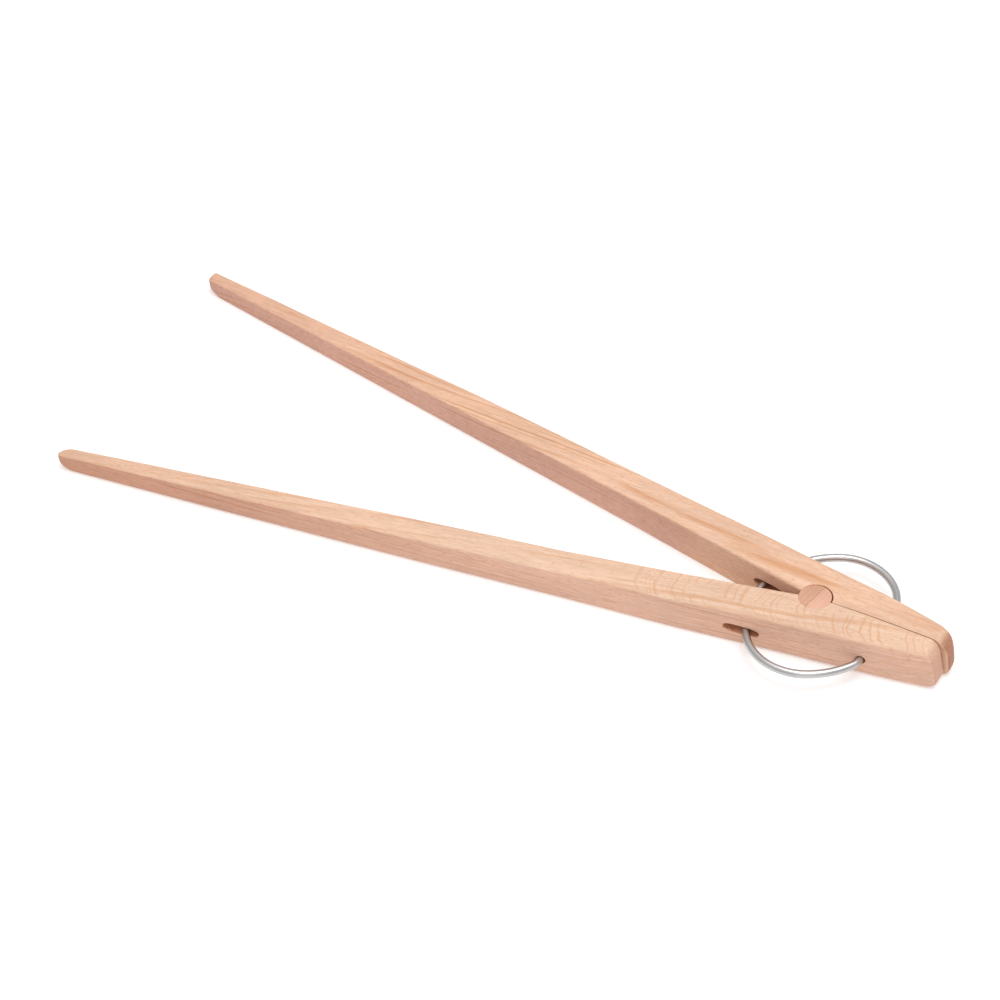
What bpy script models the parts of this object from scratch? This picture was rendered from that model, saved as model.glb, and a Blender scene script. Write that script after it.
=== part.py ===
"""Wooden print tongs: two tapered beech arms that rock on a dowel and are held open by one bent spring wire.

The dowel's axis is the world Z axis and the underside of the tongs is the plane z = 0.  The jaws point to -X,
the tail is at +X, the near arm is on the -Y side and the far arm on the +Y side.  Lengths are in metres.
"""

import math

import bmesh
import bpy
from mathutils import Vector

MM = 0.001

# The dowel is a piece of rod, and the arms are as high as it is long.
DOWEL_RADIUS = 6.0 * MM
DOWEL_CHAMFER = 0.4 * MM
HINGE_HEIGHT = 16.0 * MM
TAIL_HEIGHT = 17.0 * MM
ROUND_SIDES = 64

# Roundings left by the sander along an arm's edges.  Behind the dowel the edges at the seam are almost sharp.
OUTER_ROUNDING = 1.4 * MM
INNER_ROUNDING = 0.8 * MM
SEAM_ROUNDING = 0.3 * MM
KNEE_REACH = 75.0 * MM          # hinge axis to where the inner edges start to get sharper
CORNER_STEPS = 3
ROUNDING_SHARE = 0.4            # the most that an edge's rounding may take of the arm's width or height
END_STEPS = 6
END_TRIM = 0.04 * MM            # the loft stops this far short of where the end roundings would meet
LEAN_START = 38.0 * MM          # hinge axis to where the tail's end starts to lean

# Spring wire: two bows outside the arms and a flatter crossing in front of the dowel.  Towards its hole the
# near bow first opens out and then turns in; the angles are places on an arc, seen from its centre.
WIRE_RADIUS = 1.5 * MM
WIRE_HEIGHT = 7.45 * MM
NEAR_BOW_CENTRE = Vector((0.54, -9.95)) * MM
NEAR_BOW_RADIUS = 20.76 * MM
FAR_BOW_CENTRE = Vector((5.56, 11.94)) * MM
FAR_BOW_RADIUS = 19.82 * MM
CROSSING_RADIUS = 35.0 * MM
OPENING_RADIUS = 33.0 * MM
OPENING_ANGLE = math.radians(-63.0)
TURN_RADIUS = 8.0 * MM
TURN_ANGLE = math.radians(-33.0)
WIRE_CHORD = 2.7 * MM
WIRE_END_SETBACK = 7.0 * MM     # wire ends to the centre plane
HOLE_RADIUS = 1.85 * MM
HOLE_OFFSET = 0.15 * MM         # the spring holds the wire against the front of its hole
HOLE_FLOOR_SETBACK = 6.2 * MM   # floor of the blind hole to the centre plane
SLOT_FRONT = 26.5 * MM          # hinge axis to the front end of the slot
SLOT_REAR = 13.1 * MM
SLOT_HEIGHT = 3.7 * MM
SLOT_END_STEPS = 10


def in_metres(*stops):
    """A profile along an arm, given as (x, value) in millimetres from the jaws to the tail."""
    return tuple((x * MM, value * MM) for x, value in stops)


# The two arms are shaped and sanded by hand, so they differ a little.  Inner and outer are distances of a
# face from the centre plane, and top is a height; the gap at the seam is 0.3 mm.  A rounding is the radius
# with which a face turns in at that end.  The dowel is glued in the near arm's groove and turns in the far
# arm's.
ARMS = {
    "near_arm": {
        "side": -1,
        "inner": in_metres((-284.0, 52.5), (-150.0, 28.4), (-90.0, 18.3), (-30.0, 6.5), (0.0, 0.15),
                           (52.0, 0.15)),
        "outer": in_metres((-284.0, 57.8), (-150.0, 39.2), (-85.0, 29.2), (-50.0, 24.6), (0.0, 16.55),
                           (28.0, 12.4), (52.0, 7.85)),
        "top": in_metres((-284.0, 7.1), (0.0, 16.0), (22.0, 17.0), (52.0, 17.0)),
        "jaw_reach": 284.2 * MM,
        "jaw_rounding": {"inner": 4.2 * MM, "outer": 1.9 * MM, "under": 6.4 * MM, "top": 0.6 * MM},
        "tail_reach": 52.4 * MM,
        "tail_rounding": {"inner": 1.5 * MM, "outer": 1.0 * MM, "under": 5.0 * MM, "top": 5.6 * MM},
        "tail_lean": 3.5 * MM,
        "groove_radius": 6.12 * MM,
    },
    "far_arm": {
        "side": 1,
        "inner": in_metres((-284.0, 52.35), (-75.0, 14.5), (0.0, 0.15), (52.0, 0.15)),
        "outer": in_metres((-284.0, 57.6), (-150.0, 39.5), (0.0, 16.65), (28.0, 12.3), (52.0, 7.65)),
        "top": in_metres((-284.0, 6.95), (0.0, 16.0), (22.0, 17.0), (52.0, 17.0)),
        "jaw_reach": 283.6 * MM,
        "jaw_rounding": {"inner": 1.7 * MM, "outer": 1.6 * MM, "under": 6.6 * MM, "top": 1.2 * MM},
        "tail_reach": 53.8 * MM,
        "tail_rounding": {"inner": 1.5 * MM, "outer": 3.5 * MM, "under": 5.3 * MM, "top": 7.8 * MM},
        "tail_lean": 2.0 * MM,
        "groove_radius": 6.4 * MM,
    },
}

# Base colour, roughness and metallic value.
BEECH = ((0.78, 0.52, 0.35), 0.5, 0.0)
BEECH_END_GRAIN = ((0.62, 0.36, 0.24), 0.6, 0.0)
SPRING_STEEL = ((0.62, 0.62, 0.64), 0.28, 1.0)

CUTTER_LENGTH = 100.0 * MM      # long enough to run right through an arm
WELD_DISTANCE = 0.005 * MM
CHAMFER_ANGLE = math.radians(40.0)
SHARP_ANGLE = math.radians(32.0)


def clear_scene():
    for item in list(bpy.data.objects):
        bpy.data.objects.remove(item, do_unlink=True)


def make_collection(name):
    group = bpy.data.collections.new(name)
    bpy.context.scene.collection.children.link(group)
    return group


def make_material(name, colour, roughness, metallic):
    material = bpy.data.materials.new(name)
    material.use_nodes = True
    shader = material.node_tree.nodes["Principled BSDF"]
    shader.inputs["Base Color"].default_value = (*colour, 1.0)
    shader.inputs["Roughness"].default_value = roughness
    shader.inputs["Metallic"].default_value = metallic
    return material


def arc_points(centre, radius, start, end, count):
    """Points of an arc about centre, from angle start to angle end, both included, in count steps."""
    turns = [start + (end - start) * i / count for i in range(count + 1)]
    return [centre + radius * Vector((math.cos(a), math.sin(a))) for a in turns]


def along(x, stops):
    """The value at x of a line through stops (x, value), which run from the jaws to the tail."""
    for (x0, value0), (x1, value1) in zip(stops, stops[1:]):
        if x <= x1:
            break
    return value0 + (value1 - value0) * (x - x0) / (x1 - x0)


def plate(name, group, outline, thickness):
    """A flat outline, extruded to both sides of its own XY plane, as a mesh object."""
    curve = bpy.data.curves.new(name, "CURVE")
    curve.dimensions = "2D"
    curve.fill_mode = "BOTH"
    curve.extrude = thickness / 2
    spline = curve.splines.new("POLY")
    spline.points.add(len(outline) - 1)
    for point, place in zip(spline.points, outline):
        point.co = (place.x, place.y, 0.0, 1.0)
    spline.use_cyclic_u = True
    return curve_to_mesh(name, group, curve)


def curve_to_mesh(name, group, curve):
    """The mesh object that a curve stands for, with its caps welded on."""
    shape = bpy.data.objects.new(name + "_curve", curve)
    group.objects.link(shape)
    evaluated = shape.evaluated_get(bpy.context.evaluated_depsgraph_get())
    mesh = bpy.data.meshes.new_from_object(evaluated)
    bpy.data.objects.remove(shape, do_unlink=True)
    tidy = bmesh.new()
    tidy.from_mesh(mesh)
    bmesh.ops.remove_doubles(tidy, verts=tidy.verts, dist=WELD_DISTANCE)
    bmesh.ops.recalc_face_normals(tidy, faces=tidy.faces)
    tidy.to_mesh(mesh)
    tidy.free()
    piece = bpy.data.objects.new(name, mesh)
    group.objects.link(piece)
    return piece


def cylinder(name, group, radius, depth, sides=ROUND_SIDES):
    mesh = bpy.data.meshes.new(name)
    shape = bmesh.new()
    bmesh.ops.create_cone(shape, cap_ends=True, segments=sides, radius1=radius, radius2=radius, depth=depth)
    shape.to_mesh(mesh)
    shape.free()
    piece = bpy.data.objects.new(name, mesh)
    group.objects.link(piece)
    return piece


def cut(piece, cutter):
    """Take the cutter's shape out of the piece."""
    modifier = piece.modifiers.new("cut_" + cutter.name, "BOOLEAN")
    modifier.operation = "DIFFERENCE"
    modifier.solver = "EXACT"
    modifier.object = cutter
    cutter.hide_render = True
    cutter.display_type = "WIRE"


def chamfer_edges(piece, width):
    modifier = piece.modifiers.new("chamfer", "BEVEL")
    modifier.width = width
    modifier.segments = 1
    modifier.limit_method = "ANGLE"
    modifier.angle_limit = CHAMFER_ANGLE


def finish_surface(piece, material):
    piece.data.materials.clear()
    piece.data.materials.append(material)
    piece.data.shade_smooth()
    piece.data.set_sharp_from_angle(angle=SHARP_ANGLE)


def end_inset(x, face, arm):
    """How far a face has turned in at x, where it rounds towards the nearer end of the arm."""
    rounding, reach = arm["jaw_rounding"][face], arm["jaw_reach"]
    if x > 0:
        rounding, reach = arm["tail_rounding"][face], arm["tail_reach"]
    into = max(0.0, rounding - (reach - abs(x)))
    return rounding - math.sqrt(max(0.0, rounding ** 2 - into ** 2))


def lean(x, z, arm):
    """How far the leaning end of the tail has moved a point of the section at x forward."""
    share = max(0.0, x - LEAN_START) / (arm["tail_reach"] - LEAN_START)
    return arm["tail_lean"] * share * z / TAIL_HEIGHT


def arm_stations(arm):
    """Where the arm has a section: at each bend, and closely spaced round each end."""
    turns = [1 - math.sin(math.radians(90.0) * i / END_STEPS) for i in range(END_STEPS)]
    jaws = [max(arm["jaw_rounding"].values()) * turn for turn in turns] + [END_TRIM]
    tail = [max(arm["tail_rounding"].values()) * turn for turn in turns] + [END_TRIM]
    places = [-arm["jaw_reach"] + into for into in reversed(jaws)]
    bends = {x for face in ("inner", "outer", "top") for x, value in arm[face][1:-1]}
    places += sorted(bends | {-KNEE_REACH, LEAN_START})
    return places + [arm["tail_reach"] - into for into in tail]


def arm_ring(shape, x, arm):
    """One section of the arm: a rectangle with rounded corners."""
    inner = along(x, arm["inner"]) + end_inset(x, "inner", arm)
    outer = along(x, arm["outer"]) - end_inset(x, "outer", arm)
    under = end_inset(x, "under", arm)
    top = along(x, arm["top"]) - end_inset(x, "top", arm)
    inner_rounding = INNER_ROUNDING
    if x > -KNEE_REACH:
        inner_rounding = max(SEAM_ROUNDING, along(x, ((-KNEE_REACH, INNER_ROUNDING), (0.0, SEAM_ROUNDING))))
    most = ROUNDING_SHARE * min(outer - inner, top - under)
    near_centre = min(inner_rounding, most)
    away = min(OUTER_ROUNDING, most)
    corners = [
        (inner + near_centre, under + near_centre, near_centre, math.radians(180.0)),
        (outer - away, under + away, away, math.radians(270.0)),
        (outer - away, top - away, away, 0.0),
        (inner + near_centre, top - near_centre, near_centre, math.radians(90.0)),
    ]
    ring = []
    quarter = math.radians(90.0)
    for y, z, rounding, start in corners:
        for point in arc_points(Vector((y, z)), rounding, start, start + quarter, CORNER_STEPS):
            ring.append(shape.verts.new((x - lean(x, point.y, arm), arm["side"] * point.x, point.y)))
    return ring


def loft_arm(name, arm, group):
    """The arm before it is drilled: a loft through its sections, closed at both ends."""
    shape = bmesh.new()
    rings = [arm_ring(shape, x, arm) for x in arm_stations(arm)]
    for ring, following in zip(rings, rings[1:]):
        for i in range(len(ring)):
            shape.faces.new((ring[i - 1], ring[i], following[i], following[i - 1]))
    shape.faces.new(rings[0])
    shape.faces.new(rings[-1])
    bmesh.ops.recalc_face_normals(shape, faces=shape.faces)
    mesh = bpy.data.meshes.new(name)
    shape.to_mesh(mesh)
    shape.free()
    stick = bpy.data.objects.new(name, mesh)
    group.objects.link(stick)
    return stick


def slot_outline():
    """The wire's slot, seen along Y: straight above and below, round at both ends."""
    end = SLOT_HEIGHT / 2
    quarter = math.radians(90.0)
    rear = arc_points(Vector((-SLOT_REAR - end, WIRE_HEIGHT)), end, -quarter, quarter, SLOT_END_STEPS)
    front = arc_points(Vector((-SLOT_FRONT + end, WIRE_HEIGHT)), end, quarter, 3 * quarter, SLOT_END_STEPS)
    return rear + front


def build_arm(name, arm, hole_x, parts, cutters, material):
    """One arm: the lofted stick, with the dowel's groove and the wire's slot and blind hole cut in it."""
    stick = loft_arm(name, arm, parts)
    groove = cylinder(name + "_groove", cutters, arm["groove_radius"], CUTTER_LENGTH)
    cut(stick, groove)

    slot = plate(name + "_slot", cutters, slot_outline(), CUTTER_LENGTH)
    slot.rotation_euler.x = math.pi / 2
    cut(stick, slot)

    hole = cylinder(name + "_hole", cutters, HOLE_RADIUS, CUTTER_LENGTH, ROUND_SIDES // 2)
    hole.rotation_euler.x = math.pi / 2
    hole.location = (hole_x, arm["side"] * (HOLE_FLOOR_SETBACK + CUTTER_LENGTH / 2), WIRE_HEIGHT)
    cut(stick, hole)

    finish_surface(stick, material)


def build_dowel(parts, material):
    """The pivot dowel, flush with the arms above and below."""
    dowel = cylinder("pivot_dowel", parts, DOWEL_RADIUS, HINGE_HEIGHT)
    dowel.location.z = HINGE_HEIGHT / 2
    chamfer_edges(dowel, DOWEL_CHAMFER)
    finish_surface(dowel, material)


def crossing_centre():
    """Centre of the crossing arc, which touches both bows from outside, in front of the dowel."""
    to_near = CROSSING_RADIUS - NEAR_BOW_RADIUS
    to_far = CROSSING_RADIUS - FAR_BOW_RADIUS
    between = FAR_BOW_CENTRE - NEAR_BOW_CENTRE
    span = between.length
    forward = (span ** 2 + to_near ** 2 - to_far ** 2) / (2 * span)
    sideways = math.sqrt(to_near ** 2 - forward ** 2)
    direction = between.normalized()
    return NEAR_BOW_CENTRE + forward * direction + sideways * Vector((direction.y, -direction.x))


def tangent_centre(centre, radius, angle, next_radius):
    """Centre of the arc that carries on from the place at angle on another arc, with a radius of its own."""
    return centre + (radius - next_radius) * Vector((math.cos(angle), math.sin(angle)))


def spring_route():
    """The wire's centre line in plan, from its end in the near arm to its end in the far arm."""
    opening = tangent_centre(NEAR_BOW_CENTRE, NEAR_BOW_RADIUS, OPENING_ANGLE, OPENING_RADIUS)
    turn = tangent_centre(opening, OPENING_RADIUS, TURN_ANGLE, TURN_RADIUS)
    crossing = crossing_centre()
    near_touch = NEAR_BOW_CENTRE - crossing
    far_touch = FAR_BOW_CENTRE - crossing
    near_angle = math.atan2(near_touch.y, near_touch.x)
    far_angle = math.atan2(far_touch.y, far_touch.x) - math.tau
    arcs = [
        (turn, TURN_RADIUS, 0.0, TURN_ANGLE),
        (opening, OPENING_RADIUS, TURN_ANGLE, OPENING_ANGLE),
        (NEAR_BOW_CENTRE, NEAR_BOW_RADIUS, OPENING_ANGLE, near_angle),
        (crossing, CROSSING_RADIUS, near_angle, far_angle),
        (FAR_BOW_CENTRE, FAR_BOW_RADIUS, far_angle, -math.tau),
    ]
    route = []
    for centre, radius, start, end in arcs:
        count = math.ceil(radius * abs(end - start) / WIRE_CHORD)
        route += arc_points(centre, radius, start, end, count)[:-1]
    last = FAR_BOW_CENTRE + Vector((FAR_BOW_RADIUS, 0.0))
    near_end = Vector((route[0].x, -WIRE_END_SETBACK))
    far_end = Vector((last.x, WIRE_END_SETBACK))
    return [near_end, *route, last, far_end]


def build_spring(route, parts, material):
    curve = bpy.data.curves.new("spring_wire", "CURVE")
    curve.dimensions = "3D"
    curve.bevel_depth = WIRE_RADIUS
    curve.bevel_resolution = 2
    curve.use_fill_caps = True
    spline = curve.splines.new("POLY")
    spline.points.add(len(route) - 1)
    for point, place in zip(spline.points, route):
        point.co = (place.x, place.y, WIRE_HEIGHT, 1.0)
    spring = curve_to_mesh("spring_wire", parts, curve)
    finish_surface(spring, material)


def main():
    clear_scene()
    parts = make_collection("print_tongs")
    cutters = make_collection("cutters")
    beech = make_material("beech", *BEECH)
    end_grain = make_material("beech_end_grain", *BEECH_END_GRAIN)
    steel = make_material("spring_steel", *SPRING_STEEL)
    route = spring_route()
    build_arm("near_arm", ARMS["near_arm"], route[0].x + HOLE_OFFSET, parts, cutters, beech)
    build_arm("far_arm", ARMS["far_arm"], route[-1].x + HOLE_OFFSET, parts, cutters, beech)
    build_dowel(parts, end_grain)
    build_spring(route, parts, steel)


main()
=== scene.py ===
import math

import bmesh
import bpy
from mathutils import Matrix, Vector


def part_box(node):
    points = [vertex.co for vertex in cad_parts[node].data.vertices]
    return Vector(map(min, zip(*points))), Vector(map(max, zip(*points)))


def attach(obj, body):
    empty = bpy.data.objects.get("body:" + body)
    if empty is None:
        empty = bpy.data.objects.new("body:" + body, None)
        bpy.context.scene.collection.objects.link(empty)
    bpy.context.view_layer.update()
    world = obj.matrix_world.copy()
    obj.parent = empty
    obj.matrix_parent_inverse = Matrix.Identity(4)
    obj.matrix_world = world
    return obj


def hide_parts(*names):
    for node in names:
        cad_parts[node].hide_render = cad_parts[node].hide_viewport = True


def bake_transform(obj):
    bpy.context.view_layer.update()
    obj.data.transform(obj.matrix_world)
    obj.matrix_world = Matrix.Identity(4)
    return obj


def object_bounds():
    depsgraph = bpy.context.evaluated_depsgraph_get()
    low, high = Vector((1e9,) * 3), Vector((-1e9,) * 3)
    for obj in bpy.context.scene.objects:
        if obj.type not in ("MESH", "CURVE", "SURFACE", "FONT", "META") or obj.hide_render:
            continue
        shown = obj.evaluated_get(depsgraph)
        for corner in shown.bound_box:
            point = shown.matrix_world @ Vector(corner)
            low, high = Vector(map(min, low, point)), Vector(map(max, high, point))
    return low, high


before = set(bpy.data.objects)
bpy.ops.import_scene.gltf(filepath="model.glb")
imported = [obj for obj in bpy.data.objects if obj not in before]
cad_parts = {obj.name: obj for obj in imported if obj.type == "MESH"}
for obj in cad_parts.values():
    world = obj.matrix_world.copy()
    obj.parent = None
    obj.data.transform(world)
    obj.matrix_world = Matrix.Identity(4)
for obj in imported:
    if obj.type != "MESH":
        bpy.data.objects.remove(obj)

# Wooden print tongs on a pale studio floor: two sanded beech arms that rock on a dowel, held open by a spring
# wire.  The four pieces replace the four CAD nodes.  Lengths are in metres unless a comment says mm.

MM = 0.001
CAD_LOW, CAD_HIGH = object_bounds()

# The camera of the photograph.
CAMERA_AIM = Vector((-122.96, -9.02, 15.6)) * MM
CAMERA_DISTANCE = 1.6474
CAMERA_AZIMUTH = math.radians(27.91)
CAMERA_ELEVATION = math.radians(45.21)
CAMERA_ROLL = math.radians(-0.08)
CAMERA_LENS = 162.0             # mm
CAMERA_SENSOR = 36.0            # mm

# Studio: an overhead soft box, a weaker one on the camera's side, and a pale room.
LIGHT_AIM = Vector((-0.1, 0.0, 0.0))
KEY_PLACE = Vector((0.15, 0.10, 1.60))
KEY_SIZE = 1.3
KEY_POWER = 14.5
FILL_PLACE = Vector((0.9, -1.6, 1.3))
FILL_SIZE = 1.2
FILL_POWER = 3.5
ROOM_HORIZON = 0.54
ROOM_ZENITH = 0.86
FLOOR_RADIUS = 9.0
FLOOR_COLOUR = (0.78, 0.78, 0.78)
FLOOR_GLOW = 0.32

# Shared measures of the arms.
TAIL_HEIGHT = CAD_HIGH.z
LEAN_START = 38.0 * MM          # hinge axis to where the tail's end starts to lean
BEND_SOFTNESS = 8.0 * MM
ROUNDING_SHARE = 0.42
CROWN = 0.10 * MM               # how far a sanded face stands proud in its middle
WAVE = 0.06 * MM                # slow unevenness of the sanded faces
CORNER_STEPS = 6
FACE_STEPS = 5
STATION_STEP = 4.0 * MM
END_STEPS = 8
END_TRIM = 0.04 * MM            # the loft stops this far short of where the end roundings would meet
LEAST_STEP = 0.06 * MM          # stations closer together than this are left out
CAP_SHARES = (0.8, 0.5, 0.2)    # sizes of the shrunk outlines that crown an end
SHARP_ANGLE = math.radians(35.0)
WIRE_SHARP_ANGLE = math.radians(40.0)

# Cuts in the arms.
DOWEL_LOW, DOWEL_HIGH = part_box("pivot_dowel")
DOWEL_RADIUS = (DOWEL_HIGH.x - DOWEL_LOW.x) / 2
WIRE_LOW, WIRE_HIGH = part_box("spring_wire")
WIRE_HEIGHT = (WIRE_LOW.z + WIRE_HIGH.z) / 2
WIRE_RADIUS = (WIRE_HIGH.z - WIRE_LOW.z) / 2
SLOT_FRONT = 26.4 * MM
SLOT_REAR = 13.2 * MM
SLOT_HALF_HEIGHT = 1.8 * MM
SLOT_POWER = 2.8                # 2 would make the slot an ellipse, and more makes its ends blunter
HOLE_RADIUS = 1.75 * MM
HOLE_OFFSET = 0.2 * MM
HOLE_FLOOR = 6.2 * MM
LIP = 0.15 * MM                 # rounding at the mouth of a cut
FINE_LIP = 0.03 * MM
CUT_OVERSHOOT = 0.5 * MM        # how far a cutting tool starts above the surface
ROUND_SIDES = 96

# The dowel's top.
DOWEL_EDGE = 0.10 * MM          # rounding of its rim
DOWEL_RINGS = 22
SPLIT_ANGLE = math.radians(79.0)    # direction of the fine split across it, from +X
SPLIT_DEPTH = 0.08 * MM
SPLIT_WIDTH = 0.14 * MM

# Route of the wire in plan: two bows and a flatter crossing in front of the dowel.  Towards its hole the near
# bow first opens out and then turns in; the angles are places on an arc, seen from its centre.
NEAR_BOW_CENTRE = Vector((0.54, -9.95)) * MM
NEAR_BOW_RADIUS = 20.76 * MM
FAR_BOW_CENTRE = Vector((5.56, 11.94)) * MM
FAR_BOW_RADIUS = 19.82 * MM
CROSSING_RADIUS = 35.0 * MM
OPENING_RADIUS = 33.0 * MM
OPENING_ANGLE = math.radians(-63.0)
TURN_RADIUS = 8.0 * MM
TURN_ANGLE = math.radians(-33.0)
WIRE_CHORD = 0.9 * MM
WIRE_SIDES = 24
WIRE_END = 9.5 * MM             # wire ends to the centre plane, hidden in the holes
WAVERS = ((0.08 * MM, 13 * MM), (0.03 * MM, 4.3 * MM))      # slow rise and fall of the wire: height, reach


def in_metres(*stops):
    """A profile along an arm, given as (x, value) in millimetres from the jaws to the tail."""
    return tuple((x * MM, value * MM) for x, value in stops)


# The arms.  Faces and ends repeat the CAD source: inner and outer are distances of a face from the centre
# plane, top is a height, and an end's rounding is the radius with which a face turns in there.  The roundings
# along the edges, such as inner_top, are finer than the CAD's.  A groove is (x, distance from the centre
# plane, radius, lip), and a slot is (height, slope).
ARMS = {
    "near_arm": {
        "side": -1,
        "inner": in_metres((-284.0, 52.5), (-150.0, 28.4), (-90.0, 18.3), (-30.0, 6.5), (0.0, 0.15),
                           (52.0, 0.15)),
        "outer": in_metres((-284.0, 57.8), (-150.0, 39.2), (-85.0, 29.2), (-50.0, 24.6), (0.0, 16.55),
                           (28.0, 12.4), (52.0, 7.85)),
        "top": in_metres((-284.0, 7.1), (0.0, 16.0), (22.0, 17.0), (52.0, 17.0)),
        "inner_under": in_metres((-284.0, 0.9), (-75.0, 0.8), (0.0, 0.3), (52.0, 0.3)),
        "inner_top": in_metres((-284.0, 0.9), (-75.0, 0.8), (0.0, 0.3), (52.0, 0.3)),
        "outer_under": in_metres((-284.0, 1.3), (-30.0, 1.4), (10.0, 2.1), (52.0, 2.1)),
        "outer_top": in_metres((-284.0, 0.65), (-150.0, 1.0), (-30.0, 1.4), (10.0, 2.1), (52.0, 2.1)),
        "jaw_reach": 284.2 * MM,
        "jaw_rounding": {"inner": 4.2 * MM, "outer": 1.9 * MM, "under": 6.4 * MM, "top": 0.6 * MM},
        "tail_reach": 52.4 * MM,
        "tail_rounding": {"inner": 1.5 * MM, "outer": 1.0 * MM, "under": 5.0 * MM, "top": 5.6 * MM},
        "tail_lean": 3.5 * MM,
        "groove": (0.0, 0.0, 6.012 * MM, FINE_LIP),
        "slot": (7.4 * MM, -0.05),
        "phase": 0.4,
    },
    "far_arm": {
        "side": 1,
        "inner": in_metres((-284.0, 52.35), (-75.0, 14.5), (0.0, 0.15), (52.0, 0.15)),
        "outer": in_metres((-284.0, 57.6), (-150.0, 39.5), (0.0, 16.65), (28.0, 12.3), (52.0, 7.65)),
        "top": in_metres((-284.0, 6.95), (0.0, 16.0), (22.0, 17.0), (52.0, 17.0)),
        "inner_under": in_metres((-284.0, 0.85), (-75.0, 0.8), (0.0, 0.3), (52.0, 0.3)),
        "inner_top": in_metres((-284.0, 0.85), (-45.0, 0.8), (-15.0, 1.6), (-6.0, 1.2), (5.0, 0.3),
                               (52.0, 0.3)),
        "outer_under": in_metres((-284.0, 1.3), (-30.0, 1.4), (10.0, 2.1), (52.0, 2.1)),
        "outer_top": in_metres((-284.0, 0.8), (-150.0, 1.0), (-30.0, 1.4), (10.0, 2.1), (52.0, 2.1)),
        "jaw_reach": 283.6 * MM,
        "jaw_rounding": {"inner": 1.7 * MM, "outer": 1.6 * MM, "under": 6.6 * MM, "top": 1.2 * MM},
        "tail_reach": 53.8 * MM,
        "tail_rounding": {"inner": 1.5 * MM, "outer": 3.5 * MM, "under": 5.3 * MM, "top": 7.8 * MM},
        "tail_lean": 2.0 * MM,
        "groove": (0.22 * MM, 0.08 * MM, 6.22 * MM, LIP),
        "slot": (7.6 * MM, 0.04),
        "phase": 2.1,
    },
}


# Camera, lights and floor.

def add_camera():
    azimuth, elevation = CAMERA_AZIMUTH, CAMERA_ELEVATION
    back = Vector((math.sin(azimuth) * math.cos(elevation), -math.cos(azimuth) * math.cos(elevation),
                   math.sin(elevation)))
    right = Vector((math.cos(azimuth), math.sin(azimuth), 0.0))
    turn = Matrix((right, back.cross(right), back)).transposed() @ Matrix.Rotation(CAMERA_ROLL, 3, "Z")
    data = bpy.data.cameras.new("camera")
    data.lens = CAMERA_LENS
    data.sensor_width = CAMERA_SENSOR
    data.clip_start = 0.05
    data.clip_end = 50.0
    camera = bpy.data.objects.new("camera", data)
    camera.matrix_world = Matrix.Translation(CAMERA_AIM + CAMERA_DISTANCE * back) @ turn.to_4x4()
    bpy.context.scene.collection.objects.link(camera)
    bpy.context.scene.camera = camera


def add_soft_box(name, place, aim, size, power):
    data = bpy.data.lights.new(name, "AREA")
    data.shape = "DISK"
    data.size = size
    data.energy = power
    light = bpy.data.objects.new(name, data)
    light.location = place
    light.rotation_mode = "QUATERNION"
    light.rotation_quaternion = (aim - place).to_track_quat("-Z", "Y")
    light.visible_camera = False
    bpy.context.scene.collection.objects.link(light)


def add_room():
    """A room that is brighter overhead than at the horizon."""
    world = bpy.data.worlds.new("room")
    world.use_nodes = True
    bpy.context.scene.world = world
    nodes, links = world.node_tree.nodes, world.node_tree.links
    direction = nodes.new("ShaderNodeTexCoord")
    height = nodes.new("ShaderNodeSeparateXYZ")
    level = nodes.new("ShaderNodeMapRange")
    level.inputs["To Min"].default_value = ROOM_HORIZON
    level.inputs["To Max"].default_value = ROOM_ZENITH
    background = nodes["Background"]
    background.inputs["Color"].default_value = (1.0, 1.0, 1.0, 1.0)
    links.new(direction.outputs["Generated"], height.inputs["Vector"])
    links.new(height.outputs["Z"], level.inputs["Value"])
    links.new(level.outputs["Result"], background.inputs["Strength"])


def add_floor():
    shape = bmesh.new()
    bmesh.ops.create_circle(shape, cap_ends=True, segments=96, radius=FLOOR_RADIUS)
    mesh = bpy.data.meshes.new("studio_floor")
    shape.to_mesh(mesh)
    shape.free()
    material = bpy.data.materials.new("studio_paper")
    material.use_nodes = True
    shader = material.node_tree.nodes["Principled BSDF"]
    shader.inputs["Base Color"].default_value = (*FLOOR_COLOUR, 1.0)
    shader.inputs["Roughness"].default_value = 0.9
    shader.inputs["Specular IOR Level"].default_value = 0.1
    shader.inputs["Emission Color"].default_value = (1.0, 1.0, 1.0, 1.0)
    shader.inputs["Emission Strength"].default_value = FLOOR_GLOW
    mesh.materials.append(material)
    floor = bpy.data.objects.new("studio_floor", mesh)
    bpy.context.scene.collection.objects.link(floor)


# Materials.

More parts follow.
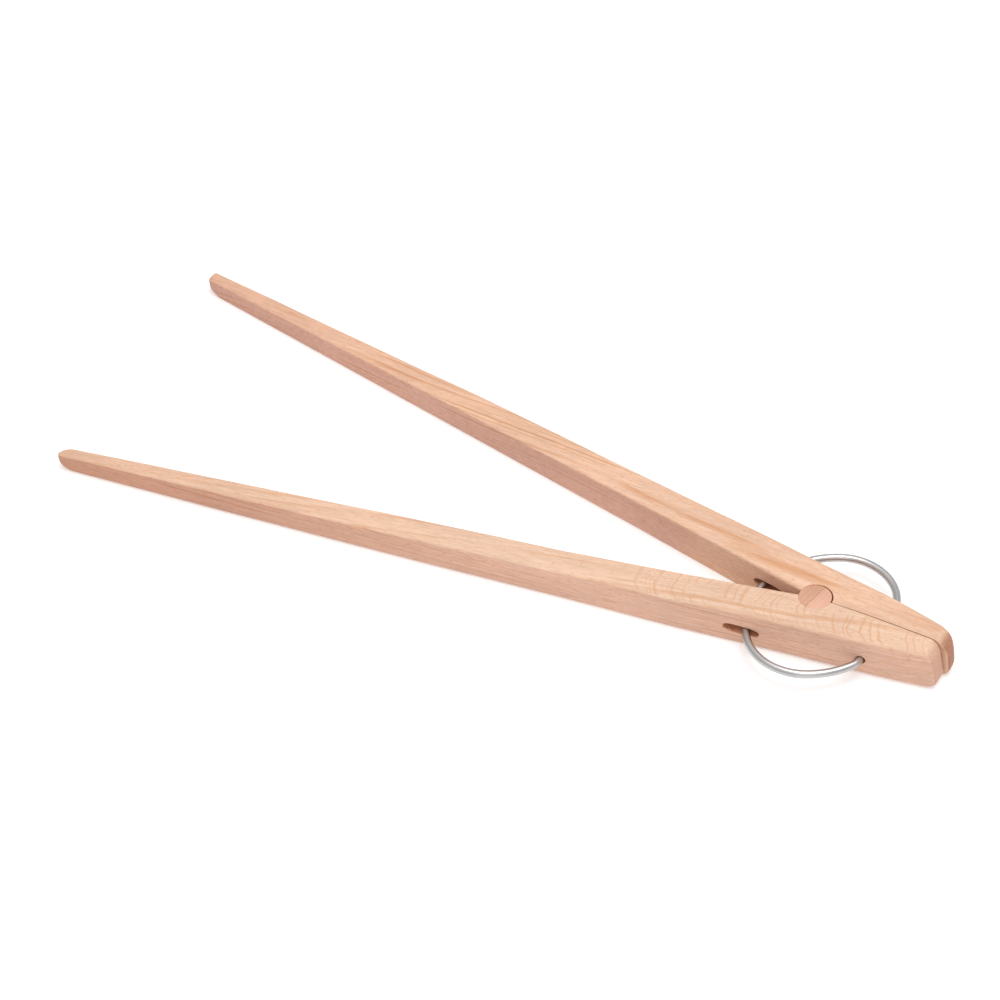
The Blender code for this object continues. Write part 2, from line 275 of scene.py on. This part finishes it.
class Graph:
    """Writes one material's nodes.  Each call returns the socket that carries its result."""

    def __init__(self, name):
        self.material = bpy.data.materials.new(name)
        self.material.use_nodes = True
        self.tree = self.material.node_tree
        self.shader = self.tree.nodes["Principled BSDF"]

    def feed(self, socket, value):
        if isinstance(value, bpy.types.NodeSocket):
            self.tree.links.new(value, socket)
        else:
            socket.default_value = value

    def node(self, kind, inputs, **settings):
        node = self.tree.nodes.new("ShaderNode" + kind)
        for key, value in settings.items():
            setattr(node, key, value)
        for socket, value in inputs.items():
            self.feed(node.inputs[socket], value)
        return node

    def maths(self, operation, first, second=0.0, third=0.0, clamp=False):
        node = self.node("Math", {0: first, 1: second, 2: third}, operation=operation, use_clamp=clamp)
        return node.outputs[0]

    def add(self, first, second):
        return self.maths("ADD", first, second)

    def times(self, first, second):
        return self.maths("MULTIPLY", first, second)

    def scaled(self, vector, x, y, z):
        node = self.node("VectorMath", {0: vector, 1: (x, y, z)}, operation="MULTIPLY")
        return node.outputs[0]

    def split(self, vector):
        return self.node("SeparateXYZ", {0: vector}).outputs

    def joined(self, x, y, z):
        return self.node("CombineXYZ", {0: x, 1: y, 2: z}).outputs[0]

    def noise(self, vector, detail=2.0, roughness=0.5):
        inputs = {"Vector": vector, "Scale": 1.0, "Detail": detail, "Roughness": roughness}
        return self.node("TexNoise", inputs).outputs[0]

    def pattern(self, place, length, width, depth, detail=2.0, roughness=0.5):
        """Noise whose features are about length by width by depth, in the units of place."""
        return self.noise(self.scaled(place, 1 / length, 1 / width, 1 / depth), detail, roughness)

    def line_noise(self, place, detail=2.0, roughness=0.5):
        """Noise along one number."""
        inputs = {"W": place, "Scale": 1.0, "Detail": detail, "Roughness": roughness}
        return self.node("TexNoise", inputs, noise_dimensions="1D").outputs[0]

    def ramp(self, value, low, high, at_low=0.0, at_high=1.0):
        """A smooth step from at_low, where value is low, to at_high, where it is high."""
        inputs = {"Value": value, "From Min": low, "From Max": high, "To Min": at_low, "To Max": at_high}
        return self.node("MapRange", inputs, interpolation_type="SMOOTHSTEP").outputs[0]

    def mix(self, share, first, second, kind="MIX"):
        node = self.tree.nodes.new("ShaderNodeMix")
        node.data_type = "RGBA"
        node.blend_type = kind
        for socket, value in ((node.inputs[0], share), (node.inputs[6], first), (node.inputs[7], second)):
            if isinstance(value, tuple):
                value = (*value, 1.0)
            self.feed(socket, value)
        return node.outputs[2]

    def shaded(self, colour, factor):
        """colour times a number."""
        return self.mix(1.0, colour, self.joined(factor, factor, factor), "MULTIPLY")

    def set(self, **values):
        """Inputs of the shader; an underscore stands for a space."""
        for name, value in values.items():
            if isinstance(value, tuple) and len(value) == 3:
                value = (*value, 1.0)
            self.feed(self.shader.inputs[name.replace("_", " ")], value)

    def bump(self, height, distance):
        """Bump by a height from 0 to 1 that stands for distance in metres."""
        node = self.node("Bump", {"Strength": 1.0, "Distance": distance, "Height": height})
        self.feed(self.shader.inputs["Normal"], node.outputs[0])


# Linear colours of planed beech, its end grain and the dowel.
BEECH_LIGHT = (0.745, 0.520, 0.385)
BEECH_BASE = (0.715, 0.478, 0.342)
BEECH_STREAK = (0.600, 0.325, 0.180)
END_GRAIN = (0.400, 0.165, 0.095)
END_GRAIN_DARK = (0.230, 0.075, 0.040)


def beech_material(name, grain_angle, seed, streaks, arcs, end_share, tones):
    """Planed and sanded beech, as a solid texture: lengthwise runs along the grain, and places are in mm."""
    graph = Graph(name)
    object_place = graph.node("TexCoord", {}).outputs
    turned = graph.node("VectorRotate", {"Vector": object_place["Object"], "Angle": -grain_angle},
                        rotation_type="Z_AXIS").outputs[0]
    place = graph.node("VectorMath", {0: graph.scaled(turned, 1000.0, 1000.0, 1000.0), 1: (seed, 0.0, 0.0)},
                       operation="ADD").outputs[0]
    lengthwise, across, height = graph.split(place)

    # Growth rings about an axis beside the arm, cut lengthwise: long streaks of uneven width.
    pith_y, pith_z = streaks["pith"]
    aside = graph.add(across, -pith_y)
    below = graph.add(height, -pith_z)
    distance = graph.maths("SQRT", graph.add(graph.times(aside, aside), graph.times(below, below)))
    drift = graph.pattern(place, 120, 16, 16, detail=1.0)
    ring = graph.add(distance, graph.times(drift, 5.0))
    ring_tone = graph.line_noise(graph.times(ring, 1 / streaks["width"]), detail=1.5)
    strength = graph.pattern(place, 45, 8, 8, detail=1.0)
    streak = graph.times(graph.ramp(ring_tone, 0.46, 0.68), graph.ramp(strength, 0.35, 0.68))
    colour = graph.mix(graph.times(streak, streaks["amount"]), BEECH_BASE, BEECH_STREAK)
    pale = graph.ramp(ring_tone, 0.50, 0.30)
    colour = graph.mix(graph.times(pale, 0.6), colour, BEECH_LIGHT)

    # Slow changes of tone, fine fibres and short dark rays.
    slow = graph.pattern(place, 60, 12, 12, detail=2.0)
    colour = graph.shaded(colour, graph.ramp(slow, 0.25, 0.75, 0.94, 1.05))
    fibre = graph.pattern(place, 9, 0.55, 0.55, detail=3.0, roughness=0.7)
    colour = graph.shaded(colour, graph.ramp(fibre, 0.32, 0.68, 0.90, 1.08))
    ray = graph.pattern(place, 2.4, 0.45, 0.45, detail=0.0)
    ray = graph.ramp(ray, 0.64, 0.75)
    colour = graph.mix(graph.times(ray, 0.6), colour, BEECH_STREAK)

    # Curved figure on the top face where the grain rises to the surface.
    if arcs:
        centre, radius = arcs["centre"], arcs["radius"]
        off = graph.add(across, -centre)
        drop = graph.maths("MAXIMUM", graph.add(radius ** 2, graph.times(graph.times(off, off), -1.0)), 1.0)
        sway = graph.pattern(place, 9, 5, 9, detail=1.0)
        front = graph.add(graph.add(lengthwise, graph.maths("SQRT", drop)), graph.times(sway, 3.4))
        arc = graph.line_noise(graph.times(front, 1 / 1.5), detail=2.0)
        arc = graph.ramp(arc, 0.50, 0.64)
        shown = graph.ramp(lengthwise, seed - 78.0, seed - 52.0)
        patch = graph.pattern(place, 14, 8, 8, detail=0.0)
        arc = graph.times(graph.times(arc, shown), graph.ramp(patch, 0.22, 0.52))
        up = graph.split(object_place["Normal"])[2]
        arc = graph.times(arc, graph.ramp(up, 0.75, 0.97))
        colour = graph.mix(graph.times(arc, arcs["amount"]), colour, BEECH_STREAK)

    # Tones of the whole arm and of its jaw end, which is redder, and painted shade on its sides, from a given
    # place to the jaws, with extra painted side shade near the jaw.
    place_x = graph.times(graph.split(object_place["Object"])[0], 1000.0)
    # Painted shade: the sides darker than the top, as the light falls on them.
    painted_side_shade = graph.ramp(graph.split(object_place["Normal"])[2], 0.85, 0.35)
    painted_side_shade = graph.times(painted_side_shade, graph.ramp(place_x, tones["side_shade_from"], tones["side_shade_from"] - 30.0))
    near_jaw = graph.ramp(place_x, -90.0, -280.0)
    colour = graph.mix(1.0, colour, tones["all"], "MULTIPLY")
    colour = graph.mix(painted_side_shade, colour, tones["side"], "MULTIPLY")
    colour = graph.mix(near_jaw, colour, tones["jaw"], "MULTIPLY")
    # More painted shade on the sides near the jaw.
    colour = graph.mix(graph.times(painted_side_shade, near_jaw), colour, tones["jaw_side_shade"], "MULTIPLY")

    # End grain where the surface faces along the grain.
    facing = graph.node("VectorMath", {0: object_place["Normal"],
                                       1: (math.cos(grain_angle), math.sin(grain_angle), 0.0)},
                        operation="DOT_PRODUCT").outputs["Value"]
    end = graph.ramp(graph.maths("ABSOLUTE", facing), 0.40, 0.80)
    pores = graph.pattern(place, 1.2, 0.55, 0.8, detail=3.0, roughness=0.7)
    end_colour = graph.mix(graph.ramp(pores, 0.42, 0.66), END_GRAIN, END_GRAIN_DARK)
    colour = graph.mix(graph.times(end, end_share), colour, end_colour)

    roughness = graph.add(graph.ramp(fibre, 0.2, 0.8, 0.50, 0.62), graph.times(slow, 0.06))
    relief = graph.add(graph.times(fibre, 0.6), graph.times(ray, -0.25))
    relief = graph.add(relief, graph.times(end, graph.times(pores, 0.5)))
    graph.set(Base_Color=colour, Roughness=roughness, Specular_IOR_Level=0.32)
    graph.bump(relief, 0.05 * MM)
    return graph.material


def bore_material():
    """Wood inside a drilled or milled cut: rougher than the sanded faces, and darker and more orange, partly
    as the cut wood's own colour and partly as painted shade and warm bounce light inside the cut.
    """
    graph = Graph("beech_bore")
    place = graph.scaled(graph.node("TexCoord", {}).outputs["Object"], 1000.0, 1000.0, 1000.0)
    grain = graph.pattern(place, 3.0, 0.5, 0.5, detail=3.0, roughness=0.65)
    blotch = graph.pattern(place, 4.0, 3.0, 3.0, detail=1.0)
    # Colours darker and warmer than the faces: partly the cut wood, partly painted shade and bounce light in
    # the cut.
    colour = graph.mix(graph.ramp(grain, 0.3, 0.7), (0.80, 0.42, 0.25), (0.50, 0.20, 0.10))
    colour = graph.shaded(colour, graph.ramp(blotch, 0.3, 0.7, 0.8, 1.1))
    graph.set(Base_Color=colour, Roughness=graph.ramp(grain, 0.2, 0.8, 0.65, 0.8), Specular_IOR_Level=0.25)
    graph.bump(grain, 0.08 * MM)
    return graph.material


def dowel_material():
    """End grain of a beech dowel, in two tones on either side of a fine split, which is darkened with painted
    shade.
    """
    graph = Graph("dowel_end_grain")
    object_place = graph.node("TexCoord", {}).outputs
    turned = graph.node("VectorRotate", {"Vector": object_place["Object"], "Angle": -SPLIT_ANGLE},
                        rotation_type="Z_AXIS").outputs[0]
    place = graph.scaled(turned, 1000.0, 1000.0, 1000.0)
    lengthwise, across, height = graph.split(place)
    waver = graph.pattern(place, 3.0, 3.0, 20.0, detail=1.0)
    off = graph.add(across, graph.ramp(waver, 0.2, 0.8, -0.35, 0.35))
    dark = graph.mix(graph.ramp(lengthwise, -5.0, 5.0), (0.60, 0.33, 0.215), (0.54, 0.29, 0.19))
    light = graph.mix(graph.ramp(lengthwise, -5.0, 5.0), (0.70, 0.40, 0.285), (0.64, 0.355, 0.25))
    colour = graph.mix(graph.ramp(off, -0.3, 0.3), light, dark)
    rings = graph.line_noise(graph.add(graph.times(across, 1 / 0.8), graph.times(waver, 1.2)), detail=1.0)
    colour = graph.shaded(colour, graph.ramp(rings, 0.3, 0.7, 0.94, 1.06))
    pores = graph.pattern(place, 0.5, 0.35, 8.0, detail=2.0, roughness=0.7)
    colour = graph.shaded(colour, graph.ramp(pores, 0.3, 0.7, 0.93, 1.07))
    # Painted shade: a dark line along the fine split, standing for the shadow inside the crack.
    split = graph.ramp(graph.maths("ABSOLUTE", off), 0.10, 0.34, 0.75, 1.0)
    colour = graph.shaded(colour, split)
    graph.set(Base_Color=colour, Roughness=graph.ramp(pores, 0.2, 0.8, 0.5, 0.66), Specular_IOR_Level=0.3)
    graph.bump(pores, 0.04 * MM)
    return graph.material


def steel_material():
    """Drawn spring steel: satin, with fine lines along the wire.  UV is (length, share of the way round)."""
    graph = Graph("drawn_spring_steel")
    place = graph.node("TexCoord", {}).outputs["UV"]
    lines = graph.noise(graph.scaled(place, 60.0, 55.0, 1.0), detail=3.0, roughness=0.6)
    smudge = graph.noise(graph.scaled(place, 90.0, 3.0, 1.0), detail=2.0)
    tone = graph.times(graph.ramp(lines, 0.25, 0.75, 0.94, 1.04), graph.ramp(smudge, 0.3, 0.7, 0.93, 1.03))
    colour = graph.shaded((0.52, 0.505, 0.505), tone)
    roughness = graph.add(graph.ramp(lines, 0.2, 0.8, 0.27, 0.37), graph.ramp(smudge, 0.3, 0.7, 0.0, 0.06))
    graph.set(Base_Color=colour, Metallic=1.0, Roughness=roughness)
    graph.bump(lines, 0.01 * MM)
    return graph.material


# Shapes.

def along(x, stops):
    """The value at x of a line through stops (x, value), which run from the jaws to the tail."""
    for (x0, value0), (x1, value1) in zip(stops, stops[1:]):
        if x <= x1:
            break
    return value0 + (value1 - value0) * (x - x0) / (x1 - x0)


def softly_along(x, stops):
    """along(), with its bends rounded off."""
    places = [x + BEND_SOFTNESS * k / 3 for k in range(-3, 4)]
    return sum(along(place, stops) for place in places) / len(places)


def wave(x, phase):
    """Slow unevenness that hand sanding leaves along a face."""
    return WAVE * (math.sin(x / (19 * MM) + phase) + 0.5 * math.sin(x / (7.1 * MM) + 3 * phase))


def outer_face(x, arm):
    return softly_along(x, arm["outer"]) + wave(x, arm["phase"])


def inner_face(x, arm):
    return along(x, arm["inner"])


def top_face(x, arm):
    return softly_along(x, arm["top"]) + wave(x, arm["phase"] + 1.7)


def end_inset(x, face, arm):
    """How far a face has turned in at x, where it rounds towards the nearer end of the arm."""
    rounding, reach = arm["jaw_rounding"][face], arm["jaw_reach"]
    if x > 0:
        rounding, reach = arm["tail_rounding"][face], arm["tail_reach"]
    into = max(0.0, rounding - (reach - abs(x)))
    return rounding - math.sqrt(max(0.0, rounding ** 2 - into ** 2))


def lean(x, z, arm):
    """How far the leaning end of the tail has moved a point of the section at x forward."""
    share = max(0.0, x - LEAN_START) / (arm["tail_reach"] - LEAN_START)
    return arm["tail_lean"] * share * z / TAIL_HEIGHT


def arm_stations(arm):
    """Where the arm has a section: evenly along it, and closer together round its ends."""
    turns = [1 - math.sin(math.radians(90.0) * i / END_STEPS) for i in range(END_STEPS)]
    first, last = -arm["jaw_reach"], arm["tail_reach"]
    places = {first + END_TRIM, last - END_TRIM}
    places |= {first + rounding * turn for rounding in arm["jaw_rounding"].values() for turn in turns}
    places |= {last - rounding * turn for rounding in arm["tail_rounding"].values() for turn in turns}
    begin = first + max(arm["jaw_rounding"].values())
    stop = last - max(arm["tail_rounding"].values())
    count = round((stop - begin) / STATION_STEP)
    places |= {begin + (stop - begin) * i / count for i in range(count + 1)}
    kept = []
    for place in sorted(places):
        if not kept or place - kept[-1] > LEAST_STEP or place == max(places):
            kept.append(place)
    return kept


def arc_points(centre, radius, start, end, count):
    """Points of an arc about centre, from angle start to angle end, both included, in count steps."""
    turns = [start + (end - start) * i / count for i in range(count + 1)]
    return [centre + radius * Vector((math.cos(a), math.sin(a))) for a in turns]


def face_points(start, end, bulge):
    """Points between two corners of a section, crowned to the right of the way from start to end."""
    way = end - start
    outward = Vector((way.y, -way.x)).normalized()
    shares = [(i + 1) / (FACE_STEPS + 1) for i in range(FACE_STEPS)]
    return [start + share * way + 4 * share * (1 - share) * bulge * outward for share in shares]


def arm_outline(x, arm):
    """A section as (distance from the centre plane, height): a crowned rectangle with round corners."""
    inner = inner_face(x, arm) + end_inset(x, "inner", arm)
    outer = outer_face(x, arm) - end_inset(x, "outer", arm)
    under = end_inset(x, "under", arm)
    top = top_face(x, arm) - end_inset(x, "top", arm)
    most = ROUNDING_SHARE * min(outer - inner, top - under)
    corners = []
    for edge, y, z, turn, bulge in (("inner_under", inner, under, 180.0, 0.3 * CROWN),
                                    ("outer_under", outer, under, 270.0, CROWN),
                                    ("outer_top", outer, top, 0.0, CROWN),
                                    ("inner_top", inner, top, 90.0, 0.0)):
        rounding = min(softly_along(x, arm[edge]), most)
        inward = Vector((1 if edge.startswith("inner") else -1, 1 if edge.endswith("under") else -1))
        corners.append((Vector((y, z)) + rounding * inward, rounding, math.radians(turn), bulge))
    quarter = math.radians(90.0)
    arcs = [arc_points(centre, rounding, begin, begin + quarter, CORNER_STEPS)
            for centre, rounding, begin, bulge in corners]
    outline = []
    for arc, following, corner in zip(arcs, arcs[1:] + arcs[:1], corners):
        outline += arc + face_points(arc[-1], following[0], corner[3])
    return outline


def skin(shape, rings):
    """Faces between rings of equal length, closed at both ends."""
    for ring, following in zip(rings, rings[1:]):
        for i in range(len(ring)):
            shape.faces.new((ring[i - 1], ring[i], following[i], following[i - 1]))
    shape.faces.new(rings[0])
    shape.faces.new(rings[-1])


def finished(name, shape):
    """The object made of a bmesh."""
    bmesh.ops.recalc_face_normals(shape, faces=shape.faces)
    mesh = bpy.data.meshes.new(name)
    shape.to_mesh(mesh)
    shape.free()
    piece = bpy.data.objects.new(name, mesh)
    bpy.context.scene.collection.objects.link(piece)
    return piece


def loft_arm(name, arm):
    shape = bmesh.new()
    outlines = [(x, arm_outline(x, arm)) for x in arm_stations(arm)]
    for x, outline in (outlines[0], outlines[-1]):
        middle = sum(outline, Vector((0.0, 0.0))) / len(outline)
        towards = 1 if x > 0 else -1
        for share in CAP_SHARES:
            shrunk = [middle + share * (point - middle) for point in outline]
            cap = (x + towards * CROWN * (1 - share ** 2), shrunk)
            outlines.insert(len(outlines) if x > 0 else 0, cap)
    rings = [[shape.verts.new((x - lean(x, p.y, arm), arm["side"] * p.x, p.y)) for p in outline]
             for x, outline in outlines]
    skin(shape, rings)
    return finished(name, shape)


def tunnel(name, outline, levels, place):
    """A cutting tool: an outline of (point, outward direction) swept through levels of (offset, function)."""
    shape = bmesh.new()
    rings = []
    for offset, level in levels:
        points = [point + offset * outward for point, outward in outline]
        rings.append([shape.verts.new(place(point, level(point))) for point in points])
    skin(shape, rings)
    return finished(name, shape)


def lip_levels(surface, inward, lip=LIP):
    """Levels that flare a tool at a surface: from above it, along a rounded lip, to the cut's width."""
    start = (lip + CUT_OVERSHOOT, -CUT_OVERSHOOT)
    profile = (start, (0.5 * lip, 0.13 * lip), (0.13 * lip, 0.5 * lip), (0.0, lip))
    return [(offset, lambda point, depth=depth: surface(point) + inward * depth) for offset, depth in profile]


def round_outline(centre, radius, sides):
    turns = [math.tau * i / sides for i in range(sides)]
    spokes = [Vector((math.cos(turn), math.sin(turn))) for turn in turns]
    return [(centre + radius * spoke, spoke) for spoke in spokes]


def signed_power(base, power):
    """base to a power, with the sign of base."""
    return math.copysign(abs(base) ** power, base)


def slot_outline(height, slope):
    """The wire's slot seen along Y, with its outward directions: a blunt-ended oval, slightly aslant."""
    middle = -(SLOT_FRONT + SLOT_REAR) / 2
    half_length = (SLOT_FRONT - SLOT_REAR) / 2
    outline = []
    for i in range(ROUND_SIDES):
        turn = math.tau * i / ROUND_SIDES
        along_x = signed_power(math.cos(turn), 2 / SLOT_POWER)
        up = signed_power(math.sin(turn), 2 / SLOT_POWER)
        level = height + SLOT_HALF_HEIGHT * up + slope * half_length * along_x
        outward = Vector((signed_power(along_x, SLOT_POWER - 1) / half_length,
                          signed_power(up, SLOT_POWER - 1) / SLOT_HALF_HEIGHT)).normalized()
        outline.append((Vector((middle + half_length * along_x, level)), outward))
    return outline


def cut(piece, tool, bore):
    tool.data.materials.append(bore)
    modifier = piece.modifiers.new(tool.name, "BOOLEAN")
    modifier.operation = "DIFFERENCE"
    modifier.solver = "EXACT"
    modifier.material_mode = "TRANSFER"
    modifier.object = tool


def settle(piece, tools):
    """Keeps what the modifiers made, and takes the tools away."""
    evaluated = piece.evaluated_get(bpy.context.evaluated_depsgraph_get())
    mesh = bpy.data.meshes.new_from_object(evaluated)
    piece.modifiers.clear()
    piece.data = mesh
    mesh.name = piece.name
    for tool in tools:
        bpy.data.objects.remove(tool, do_unlink=True)


def smooth(piece):
    """Smooth shading that keeps real edges, with its highlights led by the large faces."""
    piece.data.shade_smooth()
    piece.data.set_sharp_from_angle(angle=SHARP_ANGLE)
    modifier = piece.modifiers.new("even_highlights", "WEIGHTED_NORMAL")
    modifier.keep_sharp = True


def build_arm(node, hole_x, wood, bore):
    arm = ARMS[node]
    side = arm["side"]
    stick = loft_arm(node + "_stick", arm)
    stick.data.materials.append(wood)

    def upright(point, level):
        return (point.x, point.y, level)

    def sideways(point, level):
        return (point.x, side * level, point.y)

    def outer(point):
        return outer_face(point.x, arm)

    def inner(point):
        return inner_face(point.x, arm)

    groove_x, groove_y, groove_radius, groove_lip = arm["groove"]
    groove = tunnel(node + "_groove", round_outline(Vector((groove_x, groove_y)), groove_radius, ROUND_SIDES),
                    lip_levels(lambda point: top_face(point.x, arm), -1, groove_lip)
                    + lip_levels(lambda point: 0.0, 1, groove_lip)[::-1], upright)
    slot = tunnel(node + "_slot", slot_outline(*arm["slot"]),
                  lip_levels(outer, -1) + lip_levels(inner, 1)[::-1], sideways)
    hole_centre = Vector((hole_x, WIRE_HEIGHT))
    hole = tunnel(node + "_hole", round_outline(hole_centre, HOLE_RADIUS, ROUND_SIDES // 2),
                  lip_levels(outer, -1) + [(0.0, lambda point: HOLE_FLOOR)], sideways)
    tools = [groove, slot, hole]
    for tool in tools:
        cut(stick, tool, bore)
    settle(stick, tools)
    smooth(stick)
    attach(stick, node)
    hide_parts(node)


def build_dowel(material):
    """The pivot dowel, sanded flush with the sloping top of the arms."""
    arm = ARMS["near_arm"]
    shape = bmesh.new()
    turns = [math.tau * i / ROUND_SIDES for i in range(ROUND_SIDES)]
    spokes = [Vector((math.cos(turn), math.sin(turn))) for turn in turns]
    split = Vector((-math.sin(SPLIT_ANGLE), math.cos(SPLIT_ANGLE)))
    flat = DOWEL_RADIUS - DOWEL_EDGE
    profile = [(flat * i / DOWEL_RINGS, 0.0) for i in range(1, DOWEL_RINGS + 1)]
    edge = arc_points(Vector((flat, -DOWEL_EDGE)), DOWEL_EDGE, math.radians(90.0), 0.0, 4)
    profile += [(point.x, point.y) for point in edge[1:]]

    def top(radius, depth, spoke):
        point = radius * spoke
        groove = SPLIT_DEPTH * math.exp(-(point.dot(split) / SPLIT_WIDTH) ** 2) if depth == 0.0 else 0.0
        return shape.verts.new((point.x, point.y, softly_along(point.x, arm["top"]) + depth - groove))

    def bottom(radius, depth, spoke):
        return shape.verts.new((radius * spoke.x, radius * spoke.y, -depth))

    rings = [[top(radius, depth, spoke) for spoke in spokes] for radius, depth in profile]
    rings += [[bottom(radius, depth, spoke) for spoke in spokes] for radius, depth in reversed(profile)]
    skin(shape, rings)
    dowel = finished("dowel", shape)
    dowel.data.materials.append(material)
    smooth(dowel)
    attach(dowel, "near_arm")
    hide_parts("pivot_dowel")


def crossing_centre():
    """Centre of the crossing arc, which touches both bows from outside, in front of the dowel."""
    to_near = CROSSING_RADIUS - NEAR_BOW_RADIUS
    to_far = CROSSING_RADIUS - FAR_BOW_RADIUS
    between = FAR_BOW_CENTRE - NEAR_BOW_CENTRE
    span = between.length
    forward = (span ** 2 + to_near ** 2 - to_far ** 2) / (2 * span)
    sideways = math.sqrt(to_near ** 2 - forward ** 2)
    direction = between.normalized()
    return NEAR_BOW_CENTRE + forward * direction + sideways * Vector((direction.y, -direction.x))


def tangent_centre(centre, radius, angle, next_radius):
    """Centre of the arc that carries on from the place at angle on another arc, with a radius of its own."""
    return centre + (radius - next_radius) * Vector((math.cos(angle), math.sin(angle)))


def spring_route():
    """The wire's centre line in plan, from its end in the near arm to its end in the far arm."""
    opening = tangent_centre(NEAR_BOW_CENTRE, NEAR_BOW_RADIUS, OPENING_ANGLE, OPENING_RADIUS)
    turn = tangent_centre(opening, OPENING_RADIUS, TURN_ANGLE, TURN_RADIUS)
    crossing = crossing_centre()
    near_touch = NEAR_BOW_CENTRE - crossing
    far_touch = FAR_BOW_CENTRE - crossing
    near_angle = math.atan2(near_touch.y, near_touch.x)
    far_angle = math.atan2(far_touch.y, far_touch.x) - math.tau
    arcs = [
        (turn, TURN_RADIUS, 0.0, TURN_ANGLE),
        (opening, OPENING_RADIUS, TURN_ANGLE, OPENING_ANGLE),
        (NEAR_BOW_CENTRE, NEAR_BOW_RADIUS, OPENING_ANGLE, near_angle),
        (crossing, CROSSING_RADIUS, near_angle, far_angle),
        (FAR_BOW_CENTRE, FAR_BOW_RADIUS, far_angle, -math.tau),
    ]
    route = []
    for centre, radius, start, end in arcs:
        count = math.ceil(radius * abs(end - start) / WIRE_CHORD)
        route += arc_points(centre, radius, start, end, count)[:-1]
    last = FAR_BOW_CENTRE + Vector((FAR_BOW_RADIUS, 0.0))
    near_end = Vector((route[0].x, -WIRE_END))
    far_end = Vector((last.x, WIRE_END))
    return [near_end, *route, last, far_end]


def build_spring(route, material):
    """The spring wire as a tube that follows its route, with the slight waver of a hand-bent wire."""
    shape = bmesh.new()
    uv = shape.loops.layers.uv.new("along_and_round")
    turns = [math.tau * i / WIRE_SIDES for i in range(WIRE_SIDES)]
    lengths = [0.0]
    for point, following in zip(route, route[1:]):
        lengths.append(lengths[-1] + (following - point).length)
    rings = []
    for i, (point, length) in enumerate(zip(route, lengths)):
        before, after = route[max(i - 1, 0)], route[min(i + 1, len(route) - 1)]
        forward = (after - before).normalized()
        aside = Vector((forward.y, -forward.x))
        waver = sum(height * math.sin(length / reach) for height, reach in WAVERS)
        ring = []
        for turn in turns:
            flat = point + (WIRE_RADIUS * math.cos(turn)) * aside
            level = WIRE_HEIGHT + waver + WIRE_RADIUS * math.sin(turn)
            ring.append(shape.verts.new((flat.x, flat.y, level)))
        rings.append(ring)
    for ring, following, start, stop in zip(rings, rings[1:], lengths, lengths[1:]):
        for i in range(WIRE_SIDES):
            k = (i + 1) % WIRE_SIDES
            face = shape.faces.new((ring[i], ring[k], following[k], following[i]))
            corners = ((start, i), (start, i + 1), (stop, i + 1), (stop, i))
            for loop, (length, step) in zip(face.loops, corners):
                loop[uv].uv = (length, step / WIRE_SIDES)
    shape.faces.new(rings[0])
    shape.faces.new(rings[-1])
    wire = finished("spring", shape)
    wire.data.materials.append(material)
    wire.data.shade_smooth()
    wire.data.set_sharp_from_angle(angle=WIRE_SHARP_ANGLE)
    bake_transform(wire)
    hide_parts("spring_wire")


bpy.context.scene.view_settings.view_transform = "Standard"
add_camera()
add_soft_box("key_light", KEY_PLACE, LIGHT_AIM, KEY_SIZE, KEY_POWER)
add_soft_box("fill_light", FILL_PLACE, LIGHT_AIM, FILL_SIZE, FILL_POWER)
add_room()
add_floor()

bore = bore_material()
# The side tones of both woods are painted shade on the sides of the arms.
near_wood = beech_material("near_beech", math.radians(9.4), 900.0,
                           {"pith": (30.0, -60.0), "width": 0.9, "amount": 0.6},
                           {"centre": -8.5, "radius": 11.0, "amount": 0.6}, 0.30,
                           {"all": (1.01, 1.01, 1.01), "side": (0.95, 0.86, 0.88), "side_shade_from": 90.0,
                            "jaw": (0.94, 0.88, 0.85), "jaw_side_shade": (0.87, 0.78, 0.73)})
far_wood = beech_material("far_beech", 0.0, 300.0,
                          {"pith": (-10.0, -70.0), "width": 0.8, "amount": 1.0}, None, 0.85,
                          {"all": (0.985, 0.93, 0.90), "side": (0.88, 0.81, 0.88), "side_shade_from": -40.0,
                           "jaw": (0.95, 0.89, 0.88), "jaw_side_shade": (1.0, 1.0, 1.0)})
wire_route = spring_route()
build_arm("near_arm", wire_route[0].x + HOLE_OFFSET, near_wood, bore)
build_arm("far_arm", wire_route[-1].x + HOLE_OFFSET, far_wood, bore)
build_dowel(dowel_material())
build_spring(wire_route, steel_material())
